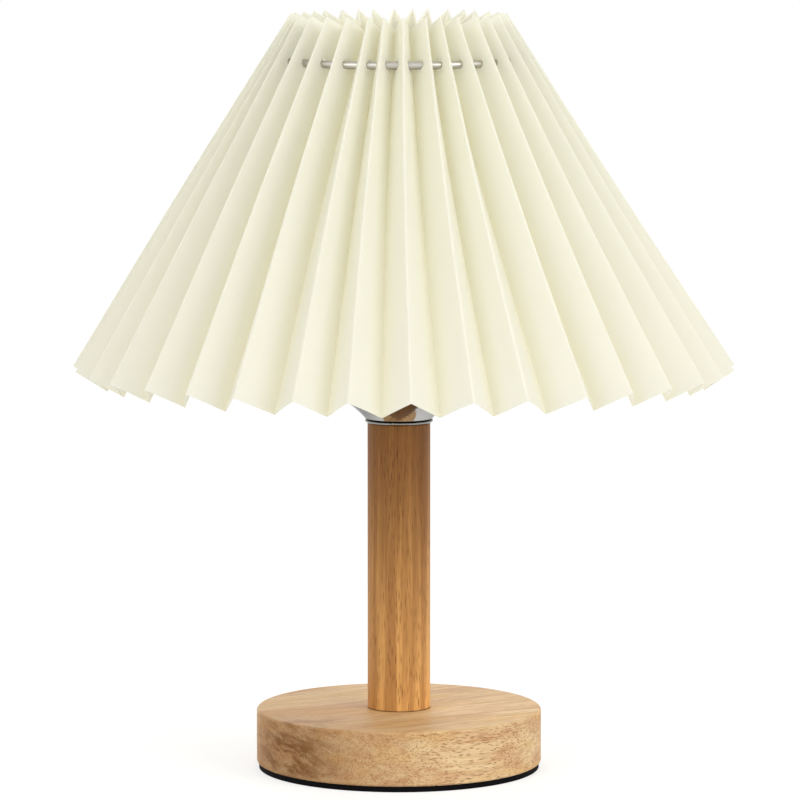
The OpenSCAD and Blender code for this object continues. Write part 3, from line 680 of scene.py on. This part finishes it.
def cup_finish(m):
    """Polished chrome with a painted reflection: it is painted darker up towards the rim and to the
    left, as a dish is that mirrors a dark room there."""
    finish = Finish("chrome", Metallic=1.0, Specular_Tint=(0.62, 0.62, 0.62))
    polish(finish, rough=0.06, wear=0.04, marks=0.000004)
    rim = heights("socket_cup")[0]
    x, _, z = finish.axes(finish.place())
    # painted reflection of a dark room: darker higher up and to the left
    dark = z.between(rim + 0.001, rim + 0.009) * 0.12 + (1 - x.between(-0.018, -0.006)) * 0.5
    finish.base(finish.mix(dark, m.chrome, linear(98, 97, 96)))
    return finish


def moulded_finish(name, tone, rough, coat=0.0, speck=0.06, skin=0.00003, grain=0.0009, gloss=0.5):
    """Moulded plastic, glazed clay or foam: a faint mottle in the colour and a fine skin."""
    finish = Finish(name, IOR=1.5, Specular_IOR_Level=gloss, Coat_Weight=coat, Coat_Roughness=0.12)
    mottle = finish.noise((0.012,) * 3, detail=2)
    pebble = finish.noise((grain,) * 3, detail=2, offset=5)
    darker = tuple(0.7 * part for part in tone)
    finish.base(finish.mix(mottle * speck + pebble * speck, tone, darker))
    finish.rough(rough + (pebble - 0.5) * 0.1)
    finish.bump(pebble, skin, 0.6)
    return finish


# Stage


def add_sun(name, toward, share, spread):
    """Light from a direction, spread in degrees, that gives a white surface square to it the
    share of white."""
    data = bpy.data.lights.new(name, "SUN")
    data.energy, data.angle = math.pi * share, math.radians(spread)
    lamp = bpy.data.objects.new(name, data)
    lamp.rotation_euler = Vector(toward).to_track_quat("Z", "Y").to_euler()
    bpy.context.scene.collection.objects.link(lamp)


def sees_white(nodes):
    """1 for the rays that see the floor and the sky as white: those from the camera, off gloss and
    through glass. Light that cloth scatters through itself isn't one of them."""
    rays = nodes.node("ShaderNodeLightPath").outputs
    camera, gloss, through, scattered = (
        Value(nodes, rays[kind])
        for kind in ("Is Camera Ray", "Is Glossy Ray", "Is Transmission Ray", "Is Diffuse Ray"))
    return camera.calc("MAXIMUM", gloss).calc("MAXIMUM", through * (1 - scattered))


def build_stage(g):
    """A white floor and sky that light the lamp more from above and from the right, three soft
    lamps of which the brightest stands at the front right, and the camera. The camera, gloss and
    glass see the floor partly as a lamp, which keeps a light shadow on it, and the sky as white.
    From below the floor is clear. It lies a hair under the pad, so the two don't flicker."""
    scene = bpy.context.scene
    scene.view_settings.view_transform = "Standard"
    half, z = 6.0, -0.00005
    corners = [(-half, -half, z), (half, -half, z), (half, half, z), (-half, half, z)]
    mesh = bpy.data.meshes.new("floor")
    mesh.from_pydata(corners, [], [(0, 1, 2, 3)])
    floor = bpy.data.objects.new("floor", mesh)
    scene.collection.objects.link(floor)
    paint = Finish("floor_white", Roughness=0.9, Specular_IOR_Level=0.0)
    paint.base(paint.mix(paint.noise((0.5,) * 3) * 0.2, (0.86, 0.86, 0.86), (0.83, 0.83, 0.83)))
    pale = paint.node("ShaderNodeBsdfDiffuse", {}, {"Color": (0.42, 0.42, 0.42)})
    shine = paint.node("ShaderNodeEmission", {}, {"Color": (1, 1, 1), "Strength": g.floor})
    seen = paint.node("ShaderNodeAddShader", {}, {0: pale.outputs[0], 1: shine.outputs[0]})
    above = paint.node("ShaderNodeMixShader", {},
                       {0: sees_white(paint), 1: paint.shader.outputs[0], 2: seen.outputs[0]})
    below = paint.node("ShaderNodeNewGeometry").outputs["Backfacing"]
    clear = paint.node("ShaderNodeBsdfTransparent", {}, {"Color": (1, 1, 1)})
    both = paint.node("ShaderNodeMixShader", {},
                      {0: below, 1: above.outputs[0], 2: clear.outputs[0]})
    paint.surface(both.outputs[0])
    mesh.materials.append(paint.material)

    scene.world = bpy.data.worlds.new("studio")
    world = Nodes(scene.world, "ShaderNodeOutputWorld")
    x, _, z = world.axes(world.node("ShaderNodeTexCoord").outputs["Generated"])
    upwards = g.horizon + (z + 1) * (0.5 * (g.sky - g.horizon))
    sideways = g.left + (x + 1) * (0.5 * (1 - g.left))
    white = sees_white(world)
    strength = white + (1 - white) * (upwards * sideways)
    sky = world.node("ShaderNodeBackground", {}, {"Color": (1, 1, 1), "Strength": strength})
    world.surface(sky.outputs[0])

    add_sun("key_lamp", (0.74, -0.56, 0.46), g.key, 40)
    add_sun("fill_lamp", (-0.62, -0.68, 0.42), g.fill, 40)
    add_sun("back_lamp", (-0.25, 0.85, 0.45), g.back, 50)

    camera = bpy.data.objects.new("camera", bpy.data.cameras.new("camera"))
    scene.collection.objects.link(camera)
    camera.data.lens, camera.data.sensor_width = g.lens, 36
    camera.data.clip_start, camera.data.clip_end = 0.05, 50
    camera.location = (g.side, -g.distance * math.cos(g.pitch),
                       g.target_z + g.distance * math.sin(g.pitch))
    camera.rotation_euler = (math.pi / 2 - g.pitch, 0, 0)
    scene.camera = camera


# The add-on


class LAMP_OT_shade(bpy.types.Operator):
    """Adds the pleated fabric shade"""

    bl_idname = "lamp.shade"
    bl_label = "Pleated shade"

    def execute(self, context):
        build_shade(context.scene.lamp_shade)
        return {"FINISHED"}


class LAMP_OT_stand(bpy.types.Operator):
    """Gives the base, post, cup and the pieces that clamp them their finishes"""

    bl_idname = "lamp.stand"
    bl_label = "Stand"

    def execute(self, context):
        wood, metal = context.scene.lamp_wood, context.scene.lamp_metal
        dress("base_disc", disc_finish(wood))
        dress("post", post_finish(wood))
        dress("base_pad", moulded_finish("pad_foam", linear(10, 9, 11), 0.9,
                                         skin=0.0002, grain=0.0007, gloss=0.1))
        dress("cord_bush", moulded_finish("black_plastic", linear(28, 28, 30), 0.45))
        dress("socket_cup", cup_finish(metal))
        top = heights("post_collar")[1]
        # painted shade: the collar's chrome is a darker copy of the cup's, with a painted shadow in
        # a black band along its top under the cup
        dress("post_collar", metal_finish(
            "chrome_collar", tuple(0.6 * part for part in metal.chrome), 0.06, wear=0.04,
            marks=0.000004, painted_shadow_band=(top - 0.0006, top - 0.0003)))
        steel = metal_finish("zinc_steel", linear(176, 180, 186), 0.34, wear=0.2)
        for node in ("base_nut", "base_washer", "threaded_tube", "cup_nut", "holder_grub_screw",
                     "terminal_screws", "slip_washer"):
            dress(node, steel)
        return {"FINISHED"}


class LAMP_OT_lampholder(bpy.types.Operator):
    """Gives the lampholder and its ring their finishes"""

    bl_idname = "lamp.lampholder"
    bl_label = "Lampholder"

    def execute(self, context):
        shell = moulded_finish("holder_plastic", linear(232, 231, 224), 0.38, coat=0.1)
        for node in ("holder_cap", "holder_sleeve"):
            dress(node, shell)
        dress("grip_ring", moulded_finish("ring_plastic", linear(230, 229, 222), 0.4))
        dress("holder_core", moulded_finish("porcelain", linear(240, 237, 228), 0.2, coat=0.5))
        brass = metal_finish("brass", linear(214, 172, 98), 0.3, wear=0.15)
        for node in ("centre_contact", "shell_tab", "terminal_blocks"):
            dress(node, brass)
        dress("screw_shell", metal_finish("shell_metal", linear(202, 196, 176), 0.28, wear=0.15))
        return {"FINISHED"}


class LAMP_OT_bulb(bpy.types.Operator):
    """Gives the bulb its finishes"""

    bl_idname = "lamp.bulb"
    bl_label = "Bulb"

    def execute(self, context):
        dress("bulb_contact", metal_finish("bulb_tip_metal", linear(196, 196, 200), 0.35, wear=0.2))
        dress("bulb_insulator", moulded_finish("bulb_insulation", linear(40, 38, 52), 0.2,
                                               coat=0.6))
        dress("bulb_cap", metal_finish("bulb_cap_metal", linear(205, 205, 208), 0.25, wear=0.12))
        dress("bulb_housing", moulded_finish("bulb_plastic", linear(240, 240, 236), 0.4))
        dress("led_board", moulded_finish("board_white", linear(236, 236, 232), 0.5))
        dress("led_chips", moulded_finish("led_yellow", linear(240, 205, 90), 0.3, coat=0.4))
        dress("bulb_globe", moulded_finish("opal_globe", linear(248, 246, 238), 0.35,
                                           coat=0.25, speck=0.02))
        return {"FINISHED"}


class LAMP_OT_carrier(bpy.types.Operator):
    """Gives the hoop and the wire carrier of the shade their finish"""

    bl_idname = "lamp.carrier"
    bl_label = "Shade carrier"

    def execute(self, context):
        nickel = metal_finish("nickel_wire", context.scene.lamp_metal.wire, 0.42, wear=0.12)
        for node in ("fitter_ring", "arm_front", "arm_right", "arm_left", "shade_hoop",
                     "hoop_sleeve"):
            dress(node, nickel)
        return {"FINISHED"}


class LAMP_OT_stage(bpy.types.Operator):
    """Adds the floor, the light and the camera"""

    bl_idname = "lamp.stage"
    bl_label = "Stage"

    def execute(self, context):
        build_stage(context.scene.lamp_stage)
        return {"FINISHED"}


GROUPS = {"lamp_shade": ShadeSettings, "lamp_wood": WoodSettings, "lamp_metal": MetalSettings,
          "lamp_stage": StageSettings}
OPERATORS = (LAMP_OT_shade, LAMP_OT_stand, LAMP_OT_lampholder, LAMP_OT_bulb, LAMP_OT_carrier,
             LAMP_OT_stage)


class LAMP_PT_sidebar(bpy.types.Panel):
    """Lists the pieces of the lamp and their sizes and colours"""

    bl_label = "Pleated table lamp"
    bl_space_type = "VIEW_3D"
    bl_region_type = "UI"
    bl_category = "Lamp"

    def draw(self, context):
        for operator in OPERATORS:
            self.layout.operator(operator.bl_idname)
        for name, group in GROUPS.items():
            box = self.layout.box()
            for prop in group.__annotations__:
                box.prop(getattr(context.scene, name), prop)


CLASSES = (*GROUPS.values(), *OPERATORS, LAMP_PT_sidebar)


def register():
    for made in CLASSES:
        bpy.utils.register_class(made)
    for name, group in GROUPS.items():
        setattr(bpy.types.Scene, name, bpy.props.PointerProperty(type=group))


def unregister():
    for name in GROUPS:
        delattr(bpy.types.Scene, name)
    for made in reversed(CLASSES):
        bpy.utils.unregister_class(made)


def main():
    register()
    bpy.ops.lamp.stage()
    bpy.ops.lamp.stand()
    bpy.ops.lamp.lampholder()
    bpy.ops.lamp.bulb()
    bpy.ops.lamp.carrier()
    bpy.ops.lamp.shade()


if __name__ == "__main__":
    main()
